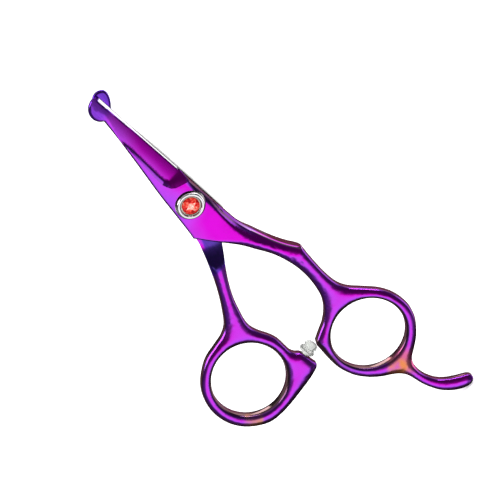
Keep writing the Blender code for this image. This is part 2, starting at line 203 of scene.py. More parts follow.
def inside(points, loop):
    """Whether each point lies inside a closed loop."""
    result = np.zeros(len(points), bool)
    x, y = points[:, 0], points[:, 1]
    for (x0, y0), (x1, y1) in zip(loop, np.roll(loop, -1, axis=0)):
        if y0 == y1:
            continue
        crosses = (y0 > y) != (y1 > y)
        result ^= crosses & (x < (x1 - x0) * (y - y0) / (y1 - y0) + x0)
    return result


def line_distance(points, line):
    """Distance from each point to an open polyline."""
    line = np.array(line, float)
    best = np.full(len(points), 1e9)
    for start, end in zip(line, line[1:]):
        step = end - start
        along = np.clip(((points - start) @ step) / (step @ step), 0, 1)
        best = np.minimum(best, np.hypot(*(points - start - along[:, None] * step).T))
    return best


def ramp(value, low, high):
    """0 below low, 1 above high, smooth between."""
    t = np.clip((value - low) / (high - low), 0, 1)
    return t * t * (3 - 2 * t)


def value_at(table, v):
    """Straight-line interpolation in a table of (distance along the half, value)."""
    stations, values = np.array(table, float).T
    return np.interp(v, stations, values)


# ---- one half of the scissors

# Upper and lower line of the curved wall that ends the ground face of a blade
GRIND_TOP = ((-3.75, 31.0), (-2.75, 26.5), (-2.62, 20.0), (-2.5, 13.5), (-2.2, 10.2), (-1.7, 8.9),
             (-1.0, 7.7), (0.1, 6.9), (1.7, 6.5), (3.4, 6.1), (7.0, 5.4))
GRIND_FLOOR = ((-2.9, 31.0), (-1.9, 24.0), (-1.5, 17.0), (-1.2, 12.5), (-0.9, 10.4), (-0.2, 9.5),
               (1.3, 9.9), (2.7, 10.4), (7.0, 11.6))
GRIND_SLOPE = 0.25  # rise of the ground face away from the edge
GRIND_HOLLOW = 0.0143  # and how fast that rise flattens
GRIND_WALL_POWER = 1.6

# Height of the inner side along a half: flat on the blade, falling away below the pivot
SCOOP = smooth_line([(-30, -5.7), (-24, -3.1), (-21.9, -2.15), (-20, -1.35), (-18, -0.62), (-16, -0.05),
                     (-14.4, 0.27), (-13.0, 0.32), (-11.6, 0.2), (-10.2, 0.15), (0, 0.15),
                     (45, 0.15)], 0.2)
SCOOP_SHIFT = 1.7
SCOOP_BOW = 0.05

EDGE_HEIGHT = 0.17  # of the cutting edge above the contact plane
BEVEL_SLOPE = 1.2
BEVEL_START = 9.0
BALL_START = 36.0
BLADE_ROUND = 0.55  # width of the rounding along the blades
BLADE_DROP = 0.5  # and how far it falls
HANDLE_ROUND = 2.6  # width of the rounding along the handles
HANDLE_WALL = 0.7  # half the height of the upright wall below it
HOLE_ROUND = 2.1  # the same two inside the finger holes
HOLE_WALL = 1.15
EDGE_SHAPES = {"ball": (0.95, 0.75), "cutting": (0.3, 1.2), "hip": (1.2, 1.6)}  # width, height
LEAST_THICKNESS = 0.02

# Material slots of a half
COATED_SLOT, GROUND_SLOT, HOLLOW_SLOT = range(3)


class Half:
    """Fine mesh of one half, worked out in its own frame."""

    def __init__(self, side, runs, hole, edge_tip, outer_radius, inner_radius, seat):
        self.side = side
        self.edge_tip = edge_tip
        self.outline = np.concatenate([points for _kind, points in runs])
        self.kinds = np.concatenate([[kind] * len(points) for kind, points in runs])
        self.hole = hole.copy()
        self.outline[:, 0] *= side
        self.hole[:, 0] *= side
        self.outer_radius = outer_radius
        self.inner_radius = inner_radius
        self.seat = seat
        self.loops = [self.outline, self.hole]
        self.set_edges()

    def set_edges(self):
        """Rounding width and edge heights along both loops."""
        loop = np.concatenate(self.loops)
        kinds = np.concatenate([self.kinds, ["hole"] * len(self.hole)])
        v = loop[:, 1]
        handle = handle_share(v)
        top = value_at(OUTER_TOP, v)
        self.width = BLADE_ROUND + handle * (HANDLE_ROUND - BLADE_ROUND)
        self.outer_edge = top - BLADE_DROP + handle * (HANDLE_WALL - top + BLADE_DROP)
        for kind, (width, height) in EDGE_SHAPES.items():
            self.width[kinds == kind] = width
            self.outer_edge[kinds == kind] = height
        flute = kinds == "flute"
        self.width[flute] = 0.65
        self.outer_edge[flute] = (0.55 + 0.75 * ramp(v, -22, 2))[flute]
        self.outer_edge[kinds == "hole"] = HOLE_WALL
        count = len(self.outline)
        for _pass in range(6):
            for values in (self.width, self.outer_edge):
                values[:count] = (np.roll(values[:count], 1) + 2 * values[:count]
                                  + np.roll(values[:count], -1)) / 4

    def measure(self, points):
        """Distance to the nearest edge and that edge's sample."""
        rim, rim_index = distances(points, self.outline)
        ring, ring_index = distances(points, self.hole)
        nearer = ring < rim
        index = np.where(nearer, ring_index + len(self.outline), rim_index)
        return np.where(nearer, ring, rim), index

    def kind_distance(self, points, kind):
        """Distance to the run of the outline with this kind of edge."""
        line = self.outline[self.kinds == kind]
        if not len(line):
            return np.full(len(points), 1e9)
        return line_distance(points, line)

    def arch(self, points, gap, index):
        """From 0 at the edges to 1 inside: rounded edges on blades, a full arch across handles."""
        v = points[:, 1]
        handle = handle_share(v)
        edge = quarter(gap / self.width[index])
        across = quarter(distances(points, self.hole)[0] / HOLE_ROUND)
        widening = 1.5 * ramp(-v, 22, 30) * ramp(v, -57, -50) if self.side > 0 else 0.4
        across = across * quarter(self.kind_distance(points, "right") / HANDLE_ROUND)
        across = across * quarter(self.kind_distance(points, "left") / (HANDLE_ROUND + widening))
        return edge + handle * (across - edge)

    def outer_height(self, points, gap, index):
        u, v = points.T
        top = value_at(OUTER_TOP, v) - CROWN * u**2 * ramp(v, -24, -12)
        edge = self.outer_edge[index]
        height = edge + (top - edge) * self.arch(points, gap, index)
        height = self.cut_flute(points, height, top)
        return self.cut_grind(points, height)

    def cut_flute(self, points, height, top):
        """Hollow along the outer edge of the finger shank, from the pivot to the notch."""
        if "flute" not in self.kinds:
            return height
        v = points[:, 1]
        from_edge = self.kind_distance(points, "flute")
        upper = ramp(v, -10, -3)
        reach = 1.4 + 2.2 * ramp(-v, 6, 28)
        lip = 1.1 + 0.75 * ramp(v, -22, 2)
        level = 0.4 * ramp(v, -27, -16) * (1 - upper)
        start = 0.35 - 0.25 * upper
        t = np.clip((from_edge - start - level) / (reach - level), 0, 1)
        depth = ramp(v, -33.3, -32.0) * (1 - ramp(v, 0, 8))
        hollow = height + (lip + (top - lip) * np.sin(t * pi / 2) - height) * depth
        return np.where(from_edge < reach + start, np.minimum(height, hollow), height)

    def cut_grind(self, points, height):
        """Ground face of the blade with its curved end wall, and the bevel at the cutting edge."""
        u, v = points.T
        beyond = [(9, 50), (-9, 50), (-9, 31)]
        zone = np.array([*GRIND_TOP, (9, 5.0), *beyond])
        floor = np.array([*GRIND_FLOOR, (9, 12.0), *beyond])
        run = (EDGE_HEEL[0] - self.edge_tip[0]) / (self.edge_tip[1] - EDGE_HEEL[1])
        from_edge = EDGE_HEEL[0] - run * (v - EDGE_HEEL[1]) - u
        ground = edge_thickness(v) + GRIND_SLOPE * from_edge - GRIND_HOLLOW * np.maximum(from_edge, 0)**2
        in_zone = inside(points, zone)
        in_floor = inside(points, floor)
        to_top = line_distance(points, GRIND_TOP)
        to_floor = line_distance(points, GRIND_FLOOR)
        climb = np.where(in_floor, 0, to_floor / (to_floor + to_top + 1e-9))
        wall = ground + (height - ground) * climb**GRIND_WALL_POWER
        height = np.where(in_zone, np.minimum(height, wall), height)
        cutting = self.kind_distance(points, "cutting")
        bevel = EDGE_HEIGHT + BEVEL_SLOPE * cutting
        on_bevel = (cutting < 3) & (v > BEVEL_START) & (v < 42.8)
        return np.where(on_bevel, np.minimum(height, bevel), height)

    def inner_height(self, points, gap, index):
        """Flat between the blades and hollow below them, then out to the back of the rounded handle."""
        u, v = points.T
        arch = self.arch(points, gap, index)
        bulge = HANDLE_WALL + (INNER_TOP - HANDLE_WALL) * arch
        height = np.maximum(-bulge, value_at(SCOOP, v + SCOOP_SHIFT - SCOOP_BOW * u**2))
        on_ball = (v > BALL_START) & (self.kinds[np.minimum(index, len(self.kinds) - 1)] == "ball")
        return np.where(on_ball, BLADE_CLEARANCE + 0.5 * (1 - arch), height)

    def sample_points(self, pivot_radius):
        """Points inside: rows that follow the edges and the lines of the grind, and a grid between."""
        edge = self.outline[self.kinds == "cutting"]
        reach = bevel_width(edge[:, 1])
        wall_top = even_points(GRIND_TOP, 0.2)
        wall_floor = even_points(GRIND_FLOOR, 0.2)
        stations = np.linspace(0, len(wall_floor) - 1, len(wall_top)).round().astype(int)
        across = wall_floor[stations] - wall_top
        rows = [wall_top + share * across for share in (0, 0.2, 0.4, 0.6, 0.8, 1)]
        rows.append(edge - np.column_stack([reach, 0 * reach]))
        depths = [np.full(len(row), 0.12) for row in rows]
        for loop in self.loops:
            along = np.roll(loop, -1, axis=0) - np.roll(loop, 1, axis=0)
            along /= np.hypot(*along.T)[:, None]
            normal = np.stack([-along[:, 1], along[:, 0]], axis=1)
            for offset in EDGE_LOOPS:
                stride = 1 if offset < 0.8 else 2
                for sign in (-1, 1):
                    moved = (loop + sign * offset * normal)[::stride]
                    rows.append(moved)
                    depths.append(np.full(len(moved), offset - 0.02))
        low = self.outline.min(0)
        high = self.outline.max(0)
        lines = np.arange(low[1], high[1], GRID_STEP * 0.866)
        columns = np.arange(low[0], high[0], GRID_STEP)
        grid = np.array([(x + (line % 2) * GRID_STEP / 2, y)
                         for line, y in enumerate(lines) for x in columns])
        points = np.concatenate([*rows, grid])
        depth = np.concatenate([*depths, np.full(len(grid), 0.5)])
        is_row = np.arange(len(points)) < len(points) - len(grid)
        gap, _index = self.measure(points)
        good = (gap > depth) & inside(points, self.outline) & ~inside(points, self.hole)
        good &= np.hypot(*points.T) > pivot_radius + 0.12
        placed = thin_out(points[good & is_row], 0.05)
        return np.concatenate([placed, clear_of(points[good & ~is_row], placed, 0.2)])

    def surface(self, pivot_radius):
        """Triangulated plane mesh of one side: points, those of the loops first, and triangles."""
        circle = circle_loop(pivot_radius)
        fixed = [self.outline, self.hole, circle]
        free = self.sample_points(pivot_radius)
        points = np.concatenate([*fixed, free])
        edges = []
        start = 0
        for loop in fixed:
            count = len(loop)
            edges += [(start + i, start + (i + 1) % count) for i in range(count)]
            start += count
        result = delaunay_2d_cdt([Vector(p) for p in points], edges, [], 0, 1e-6)
        placed = np.array([tuple(p) for p in result[0]])
        if len(placed) != len(points):
            raise RuntimeError(f"the plane mesh gained {len(placed) - len(points)} points")
        triangles = np.array([face for face in result[2]])
        centre = placed[triangles].mean(1)
        good = inside(centre, self.outline) & ~inside(centre, self.hole)
        good &= np.hypot(*centre.T) > pivot_radius * cos(pi / len(circle))
        return placed, triangles[good]

    def side_mesh(self, pivot_radius, height_of):
        """Points, triangles and heights of one side."""
        points, faces = self.surface(pivot_radius)
        gap, index = self.measure(points)
        return points, faces, relax(height_of(points, gap, index), faces, gap, points[:, 1])

    def build(self, name, materials):
        outer_points, outer_faces, outer_h = self.side_mesh(self.outer_radius, self.outer_height)
        inner_points, inner_faces, inner_h = self.side_mesh(self.inner_radius, self.inner_height)
        loops = len(self.outline) + len(self.hole)
        outer_h[:loops] = np.maximum(outer_h[:loops], inner_h[:loops] + LEAST_THICKNESS)
        shared = len(outer_points)
        circle = circle_loop(self.outer_radius)
        seat_height = np.full(len(circle), self.seat)
        vertices = np.concatenate([np.column_stack([outer_points, outer_h]),
                                   np.column_stack([inner_points, inner_h]),
                                   np.column_stack([circle, seat_height]),
                                   np.column_stack([circle_loop(self.inner_radius), seat_height])])
        faces = [tuple(f) for f in outer_faces] + [tuple(f[::-1] + shared) for f in inner_faces]
        slots = self.side_slots(outer_points[outer_faces].mean(1), inner_points[inner_faces].mean(1))
        self.add_rims(faces, slots, shared)
        add_seat(faces, slots, len(circle), loops, shared, shared + len(inner_points))
        vertices[:, 0] *= self.side
        vertices[:, 2] *= self.side
        piece = make_mesh(name, vertices, faces, materials, slots)
        self.paint(piece, vertices)
        return piece

    def side_slots(self, outer_centre, inner_centre):
        """Material slots of the faces of the outer and the inner side."""
        v = outer_centre[:, 1]
        bevel = self.kind_distance(outer_centre, "cutting") < bevel_width(v)
        bevel &= (v > BEVEL_START) & (v < 42.4)
        # Inner faces between the blades take the much darker steel: painted shade
        v = inner_centre[:, 1]
        hollow = (v > -8) & (v < BALL_START)
        return [*np.where(bevel, GROUND_SLOT, COATED_SLOT), *np.where(hollow, HOLLOW_SLOT, COATED_SLOT)]

    def add_rims(self, faces, slots, shared):
        """Faces between the two sides along the outline and along the hole."""
        rim = len(self.outline)
        for first, loop in ((0, self.outline), (rim, self.hole)):
            outward = signed_area(loop) > 0
            if first:
                outward = not outward
            size = len(loop)
            for i in range(size):
                a, b = first + i, first + (i + 1) % size
                quad = (a, a + shared, b + shared, b)
                faces.append(quad if outward else quad[::-1])
                bare = first == 0 and self.side < 0 and self.kinds[i] == "spine"
                slots.append(GROUND_SLOT if bare else COATED_SLOT)

    def paint(self, piece, vertices):
        """Coating as attributes: changes in its thickness with painted shade added, blue, and a pale pink
        painted highlight.
        """
        x, y = vertices[:, 0], vertices[:, 1]
        height = vertices[:, 2] * self.side
        # More violet towards the spine beside the pivot and along the handles, more magenta on the neck
        drift_and_shade = 0.10 * ramp(-x, -3.5, 4.0) * ramp(y, -7, 2) - 0.05 * ramp(x, 1.5, 8) * ramp(y, -24, -12)
        drift_and_shade = drift_and_shade + 0.05 * ramp(-y, 22, 40)
        # Browner and darker on the walls of the finger holes: painted shade
        from_hole = distances(vertices[:, :2] * (self.side, 1), self.hole)[0]
        drift_and_shade = drift_and_shade + 0.22 * (1 - ramp(from_hole, 0.5, 1.3))
        # Blue ball tips
        blue = 0.42 * ramp(y, 35.0, 38.5)
        lip_highlight = np.zeros(len(x))
        if self.side < 0:
            # Navy in the scoop below the pivot
            from_left = x + 4.9 - 0.31 * (y + 10)
            below = np.maximum(ramp(from_left, 0.3, 1.9), ramp(-y, 13.5, 17))
            scoop = ramp(-height, -1.2, -0.6) * ramp(-y, 7, 10) * (1 - ramp(-y, 21, 23.5)) * below
            blue = np.maximum(scoop, 0.55 * ramp(y, 35.5, 36.5))
        else:
            # Painted shade: darker along the flute beside the pivot and on the bumper's seat, where the
            # bumper meets this half
            from_edge = self.kind_distance(vertices[:, :2], "flute")
            beside = ramp(y, -22, -16) * (1 - ramp(y, 4, 9))
            drift_and_shade = drift_and_shade + 0.25 * (1 - ramp(from_edge, 0.7, 1.8)) * beside
            drift_and_shade = drift_and_shade + 0.3 * (1 - ramp(x, 0.9, 2.0)) * ramp(-y, 52, 57) * (1 - ramp(-y, 66, 70))
            # Painted highlight: a pale pink line along the lip of the flute
            lip_highlight = np.exp(-((from_edge - 0.42) / 0.17)**2) * ramp(-y, 12, 20) * (height > 0.3)
        for attribute_name, values in (("coat_shift_and_shade", drift_and_shade), ("coat_blue", blue), ("coat_lip_highlight", lip_highlight)):
            attribute = piece.data.attributes.new(attribute_name, "FLOAT", "POINT")
            attribute.data.foreach_set("value", values.astype(np.float32))


def add_seat(faces, slots, count, outer_start, shared, seat):
    """Walls and floor of the round seat at the pivot, from the outer to the inner side."""
    for i in range(count):
        j = (i + 1) % count
        rings = [outer_start + i, seat + i, seat + count + i, shared + outer_start + i]
        following = [outer_start + j, seat + j, seat + count + j, shared + outer_start + j]
        for level in range(3):
            faces.append((rings[level], following[level], following[level + 1], rings[level + 1]))
            slots.append(GROUND_SLOT if level else COATED_SLOT)


def handle_share(v):
    """0 on the blades, 1 on the handles."""
    return 1 - ramp(v, -27, -12)


def bevel_width(v):
    """Width of the bevel along the cutting edge."""
    return (edge_thickness(v) - EDGE_HEIGHT) / BEVEL_SLOPE


def quarter(t):
    """Height of a quarter ellipse at a share t of its width."""
    return np.sqrt(1 - (1 - np.clip(t, 0, 1))**2)


def edge_thickness(v):
    """Thickness of the ground blade at the cutting edge, heavier towards the ball."""
    return 0.5 + 0.4 * ramp(v, 22, 42)


def signed_area(loop):
    """Area inside a closed loop, positive when it runs anticlockwise."""
    x, y = loop.T
    return 0.5 * float((x * np.roll(y, -1) - y * np.roll(x, -1)).sum())


def circle_loop(radius, count=96):
    angles = np.arange(count) * 2 * pi / count
    return radius * np.stack([np.cos(angles), np.sin(angles)], axis=1)


def clear_of(points, placed, spacing):
    """The points that share no small cell, nor a cell beside it, with one already placed."""
    taken = set()
    for x, y in np.round(placed / spacing).astype(int).tolist():
        taken.update((x + i, y + j) for i in (-1, 0, 1) for j in (-1, 0, 1))
    cells = np.round(points / spacing).astype(int).tolist()
    return points[[tuple(cell) not in taken for cell in cells]]


def thin_out(points, spacing):
    """Drop points that share a small cell with an earlier one."""
    cells = np.round(points / spacing).astype(int)
    _unique, first = np.unique(cells, axis=0, return_index=True)
    return points[np.sort(first)]


def relax(heights, faces, gap, v):
    """Soften the crest of the handles and leave edges and ground faces crisp."""
    weight = np.clip((gap - 0.5) / 0.6, 0, 1) * (1 - ramp(v, -24, -17)) * 0.6
    pairs = np.concatenate([faces[:, [0, 1]], faces[:, [1, 2]], faces[:, [2, 0]]])
    pairs = np.concatenate([pairs, pairs[:, ::-1]])
    count = np.bincount(pairs[:, 0], minlength=len(heights)).clip(1)
    for _step in range(5):
        mean = np.bincount(pairs[:, 0], heights[pairs[:, 1]], minlength=len(heights)) / count
        heights = heights + weight * (mean - heights)
    return heights


def to_world(points):
    """Flat millimetres (x, y, height towards the jewel side) to the upright frame in metres."""
    points = np.asarray(points, float)
    return np.column_stack([points[:, 0] * MM, CONTACT_Y - points[:, 2] * MM, points[:, 1] * MM])


def new_object(name, data):
    obj = bpy.data.objects.new(name, data)
    bpy.context.scene.collection.objects.link(obj)
    return obj


def make_mesh(name, points, faces, materials, slots=None, sharp=32):
    mesh = bpy.data.meshes.new(name)
    mesh.from_pydata(to_world(points).tolist(), [], [list(map(int, face)) for face in faces])
    for material in materials:
        mesh.materials.append(material)
    if slots is not None:
        mesh.polygons.foreach_set("material_index", np.array(slots, np.int32))
    mesh.validate()
    mesh.shade_smooth()
    mesh.set_sharp_from_angle(angle=radians(sharp))
    mesh.update()
    return new_object(name, mesh)


def lathe(name, profile, steps=96, material=None, aim=None, sharp=32):
    """Solid of revolution about h through the pivot; the profile runs from the top outwards and down."""
    points = []
    faces = []
    rows = []
    for radius, height in profile:
        if radius == 0:
            rows.append([len(points)] * steps)
            points.append((0, 0, height))
            continue
        rows.append(list(range(len(points), len(points) + steps)))
        points += [(radius * cos(2 * pi * i / steps), radius * sin(2 * pi * i / steps), height)
                   for i in range(steps)]
    closed = profile[0] == profile[-1]
    if closed:
        rows[-1] = rows[0]
        points = points[:-steps]
    for upper, lower in zip(rows, rows[1:]):
        for i in range(steps):
            j = (i + 1) % steps
            corners = (upper[i], lower[i], lower[j], upper[j])
            faces.append(tuple(dict.fromkeys(corners)))
    if aim is not None:
        points = [aim @ Vector(point) for point in points]
    return make_mesh(name, points, faces, [material], sharp=sharp)


def rounded(profile, radius=0.12, steps=4):
    """The profile with each inner corner turned into a small arc."""
    result = [profile[0]]
    for before, corner, after in zip(profile, profile[1:], profile[2:]):
        corner = Vector(corner)
        to_before = Vector(before) - corner
        to_after = Vector(after) - corner
        reach = min(radius, to_before.length * 0.45, to_after.length * 0.45)
        start = corner + to_before.normalized() * reach
        end = corner + to_after.normalized() * reach
        for step in range(steps + 1):
            t = step / steps
            point = start * (1 - t)**2 + corner * 2 * t * (1 - t) + end * t**2
            result.append((max(point.x, 0.0), point.y))
    return result + [profile[-1]]


def ring_profile(profile, radius=0.04):
    """A closed section, rounded at its corners."""
    middle = ((profile[0][0] + profile[-1][0]) / 2, (profile[0][1] + profile[-1][1]) / 2)
    return rounded([middle, *profile, middle], radius)


# ---- materials

class Graph:
    """Short calls for building one node tree."""

    def __init__(self, tree):
        self.tree = tree

    def add(self, kind, inputs=None, **settings):
        node = self.tree.nodes.new("ShaderNode" + kind)
        for key, value in settings.items():
            setattr(node, key, value)
        for key, value in (inputs or {}).items():
            self.feed(value, node.inputs[key])
        return node

    def feed(self, value, socket):
        if isinstance(value, bpy.types.Node):
            value = value.outputs[0]
        if isinstance(value, bpy.types.NodeSocket):
            self.tree.links.new(value, socket)
        elif socket.type == "RGBA" and len(value) == 3:
            socket.default_value = (*value, 1)
        else:
            socket.default_value = value

    def math(self, operation, *values, clamp=False):
        node = self.add("Math", operation=operation, use_clamp=clamp)
        for socket, value in zip(node.inputs, values):
            self.feed(value, socket)
        return node

    def mix(self, factor, first, second, blend="MIX"):
        node = self.add("Mix", data_type="RGBA", blend_type=blend)
        self.feed(factor, node.inputs[0])
        self.feed(first, node.inputs[6])
        self.feed(second, node.inputs[7])
        return node.outputs[2]

    def range(self, value, low, high, to_low=0.0, to_high=1.0, smooth=True):
        node = self.add("MapRange", interpolation_type="SMOOTHSTEP" if smooth else "LINEAR")
        for socket, number in zip(node.inputs, (value, low, high, to_low, to_high)):
            self.feed(number, socket)
        return node

    def colours(self, factor, *stops):
        node = self.add("ValToRGB", {"Fac": factor})
        ramp_elements = node.color_ramp.elements
        while len(ramp_elements) < len(stops):
            ramp_elements.new(0.5)
        for element, (place, colour) in zip(ramp_elements, stops):
            element.position = place
            element.color = (*colour, 1)
        return node

    def noise(self, scale, detail=3.0, stretch=None, roughness=0.5):
        """Noise over the piece's own coordinates; the scale is in cycles per metre."""
        place = self.add("TexCoord").outputs["Object"]
        if stretch is not None:
            place = self.add("Mapping", {"Vector": place, "Scale": stretch})
        return self.add("TexNoise", {"Vector": place, "Scale": scale, "Detail": detail,
                                     "Roughness": roughness})

    def vector(self, operation, *values):
        node = self.add("VectorMath", operation=operation)
        for socket, value in zip(node.inputs, values):
            self.feed(value, socket)
        return node

    def radius(self):
        """Distance from the pivot axis."""
        flat = self.vector("MULTIPLY", self.add("TexCoord").outputs["Object"], (1, 0, 1))
        return self.vector("LENGTH", flat).outputs["Value"]

    def distance(self, point):
        return self.vector("DISTANCE", self.add("TexCoord").outputs["Object"], point).outputs["Value"]


def new_material(name, **values):
    material = bpy.data.materials.new(name)
    material.use_nodes = True
    shader = material.node_tree.nodes["Principled BSDF"]
    graph = Graph(material.node_tree)
    for key, value in values.items():
        graph.feed(value, shader.inputs[key.replace("_", " ").title()])
    return material, graph, shader


def set_finish(graph, shader, colour=None, roughness=None, bump=None, strength=0.1, depth=0.00002):
    if colour is not None:
        graph.feed(colour, shader.inputs["Base Color"])
    if roughness is not None:
        graph.feed(roughness, shader.inputs["Roughness"])
    if bump is not None:
        node = graph.add("Bump", {"Height": bump, "Strength": strength, "Distance": depth})
        graph.feed(node, shader.inputs["Normal"])


# Colour of the coating from seen face on to seen edge on, and from light to deep blue
FILM = ((0.0, (0.80, 0.001, 0.72)), (0.11, (0.66, 0.002, 0.66)), (0.17, (0.54, 0.045, 0.78)),
        (0.24, (0.42, 0.06, 0.82)), (0.33, (0.27, 0.05, 0.46)), (0.43, (0.17, 0.07, 0.19)),
        (0.56, (0.11, 0.045, 0.07)), (0.70, (0.20, 0.12, 0.12)), (0.84, (0.22, 0.15, 0.14)),
        (1.0, (0.28, 0.22, 0.20)))
BLUES = ((0.3, (0.22, 0.04, 0.66)), (0.6, (0.13, 0.03, 0.50)), (0.85, (0.12, 0.035, 0.42)),
         (1.0, (0.085, 0.04, 0.34)))
# Painted shade: slopes facing the tips and the left side are shifted darker and more violet
SHADED_SIDE = (-0.79, 0, 0.61)  # slopes that face this way are more violet


def coated_steel(name):
    """Polished steel under an interference coating: magenta face on, violet and brown aslant."""
    material, graph, shader = new_material(name, metallic=1.0)
    facing = graph.add("LayerWeight", {"Blend": 0.5}).outputs["Facing"]
    cloud = graph.math("MULTIPLY_ADD", graph.noise(60, detail=1.0), 0.10, -0.05)
    # Changes in coating thickness, with painted shade in the finger holes, along the flute and on the
    # bumper's seat
    drift_and_shade = graph.add("Attribute", attribute_name="coat_shift_and_shade", attribute_type="GEOMETRY").outputs["Fac"]
    # Painted shade: slopes facing the tips and the left side shift towards darker violet
    shaded_lean = graph.vector("DOT_PRODUCT", graph.add("TexCoord").outputs["Normal"], SHADED_SIDE)
    uneven = graph.math("MULTIPLY_ADD", graph.math("MAXIMUM", shaded_lean.outputs["Value"], 0.0), 0.18, cloud)
    shifted = graph.math("ADD", facing, graph.math("ADD", uneven, drift_and_shade))
    film = graph.colours(shifted, *FILM)
    blue = graph.add("Attribute", attribute_name="coat_blue", attribute_type="GEOMETRY").outputs["Fac"]
    streaks = graph.noise(1, detail=2.0, stretch=(1600, 1600, 160))
    streaked = graph.math("ADD", blue, graph.range(streaks, 0.35, 0.65, -0.12, 0.12))
    deep = graph.colours(streaked, *BLUES)
    amount = graph.math("MULTIPLY", blue, 1.9, clamp=True)
    tint = graph.mix(amount, film.outputs["Color"], deep.outputs["Color"])
    # Painted highlight: pale pink mixed in along the lip of the flute
    lip_highlight = graph.add("Attribute", attribute_name="coat_lip_highlight", attribute_type="GEOMETRY").outputs["Fac"]
    tint = graph.mix(graph.math("MULTIPLY", lip_highlight, 0.9), tint, (0.92, 0.62, 0.88))
    for point, reach, heat in HEAT_SPOTS:
        near = graph.range(graph.distance(point), reach, 0.002)
        patch = graph.noise(190, detail=2.0)
        amount = graph.math("MULTIPLY", near, graph.range(patch, 0.2, 0.5))
        tint = graph.mix(amount, tint, heat)
    lines = graph.noise(1, detail=4.0, stretch=(9000, 9000, 500))
    smears = graph.noise(260, detail=3.0)
    gloss = graph.math("ADD", graph.range(smears, 0.3, 0.75, 0.13, 0.21),
                       graph.range(lines, 0.45, 0.8, 0.0, 0.07))
    set_finish(graph, shader, tint, gloss, lines, strength=0.05, depth=0.00001)
    graph.feed((0.30, 0.12, 0.24), shader.inputs["Specular Tint"])
    shader.inputs["Coat Weight"].default_value = 0.1
    shader.inputs["Coat Roughness"].default_value = 0.06
    return material


def ground_steel(name, dark, light):
    """Bare steel, ground across the blade."""
    material, graph, shader = new_material(name, metallic=1.0)
    lines = graph.noise(1, detail=3.0, stretch=(350, 350, 7000))
    tone = graph.colours(lines, (0.36, (dark, dark, 0.98 * dark)), (0.64, (light, light, light)))
    set_finish(graph, shader, tone, graph.range(lines, 0.3, 0.7, 0.2, 0.34), lines, 0.25, 0.00002)
    return material


def polished_steel(name, colour=(0.86, 0.86, 0.87), roughness=0.1):
    """Turned and polished steel with faint circular lines round the pivot."""
    material, graph, shader = new_material(name, metallic=1.0)
    radius = graph.math("MULTIPLY", graph.radius(), 4200.0)
    rings = graph.add("TexNoise", {"W": radius, "Scale": 1.0, "Detail": 2.0}, noise_dimensions="1D")
    blotches = graph.noise(420, detail=3.0)
    tone = graph.mix(graph.range(blotches, 0.35, 0.7), colour, tuple(0.9 * value for value in colour))
    gloss = graph.math("ADD", graph.range(rings, 0.35, 0.7, 0.0, 0.08), roughness)
    set_finish(graph, shader, tone, gloss, rings, strength=0.08, depth=0.00001)
    return material


def stone_material(name):
    """Foil-backed cut glass with painted reflections: each facet carries its own fixed tone, pale on the
    table, with fine specks of painted sparkle.
    """
    material, graph, shader = new_material(name, metallic=0.35, roughness=0.06)
    # Painted sparkle: fixed facet tones and fine specks stand in for reflections in the stone
    tone = graph.add("Attribute", attribute_name="facet_sparkle", attribute_type="GEOMETRY")
    sparkle_flecks = graph.noise(1900, detail=2.0)
    value = graph.math("MULTIPLY_ADD", sparkle_flecks, 1.3, -0.65)
    mixed = graph.math("ADD", tone.outputs["Fac"], value, clamp=True)
    colour = graph.colours(mixed, (0.0, (0.35, 0.002, 0.002)), (0.25, (0.72, 0.01, 0.01)),
                           (0.5, (0.90, 0.045, 0.025)), (0.72, (0.98, 0.16, 0.10)),
                           (1.0, (1.0, 0.60, 0.52)))
    set_finish(graph, shader, colour)
    # Painted glow: the stone gives off a little light of its own colour
    graph.feed(colour, shader.inputs["Emission Color"])
    shader.inputs["Emission Strength"].default_value = 0.12
    shader.inputs["Coat Weight"].default_value = 1.0
    shader.inputs["Coat Roughness"].default_value = 0.02
    return material


def plastic_material(name, colour, roughness, transmission=0.0, grain=900, strength=0.12):
    """Moulded plastic with a faint grain and uneven gloss."""
    material, graph, shader = new_material(name)
    grain_noise = graph.noise(grain, detail=3.0)
    tone = graph.mix(graph.range(grain_noise, 0.3, 0.7), colour, tuple(0.9 * value for value in colour))
    gloss = graph.range(grain_noise, 0.3, 0.7, roughness, roughness + 0.1)
    set_finish(graph, shader, tone, gloss, grain_noise, strength, depth=0.00003)
    shader.inputs["Transmission Weight"].default_value = transmission
    shader.inputs["IOR"].default_value = 1.46
    return material


# ---- pieces

def place_point(x, y, height=0.0):
    """Flat millimetres to a point of the upright frame."""
    return Vector(to_world([(x, y, height)])[0])


# Places touched by heat: point, reach in metres, colour
HEAT_SPOTS = ((tuple(place_point(16.2, -81.2, 1.9)), 0.0060, (0.66, 0.13, 0.30)),
              (tuple(place_point(13.3, -81.2, 1.4)), 0.0040, (0.78, 0.25, 0.09)),
              (tuple(place_point(-27.4, -66.0, 1.6)), 0.0034, (0.60, 0.26, 0.12)))

COATED = coated_steel("coated_steel")
GROUND = ground_steel("ground_steel", 0.74, 0.92)
# Painted shade: the inner faces between the blades get a much darker steel, with real grinding lines
HOLLOW = ground_steel("shaded_hollow_ground_steel", 0.22, 0.62)


def stand_for(piece, node, body):
    """The fine piece takes a CAD node's place on its body."""
    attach(piece, body)
    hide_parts(node)
    return piece


def build_finger_half():
    half = Half(1, finger_runs(), ring_hole(FINGER_HOLE), EDGE_TIP, 4.42, 3.05, COUNTERBORE_FLOOR)
    piece = half.build("finger_half_steel", [COATED, GROUND, HOLLOW])
    stand_for(piece, "finger_blade", "finger_half")


def build_thumb_half():
    half = Half(-1, thumb_runs(), ring_hole(THUMB_HOLE), THUMB_EDGE_TIP, 4.75, 3.25, NUT_SEAT)
    piece = half.build("thumb_half_steel", [COATED, GROUND, HOLLOW])
    stand_for(piece, "thumb_blade", "thumb_half")


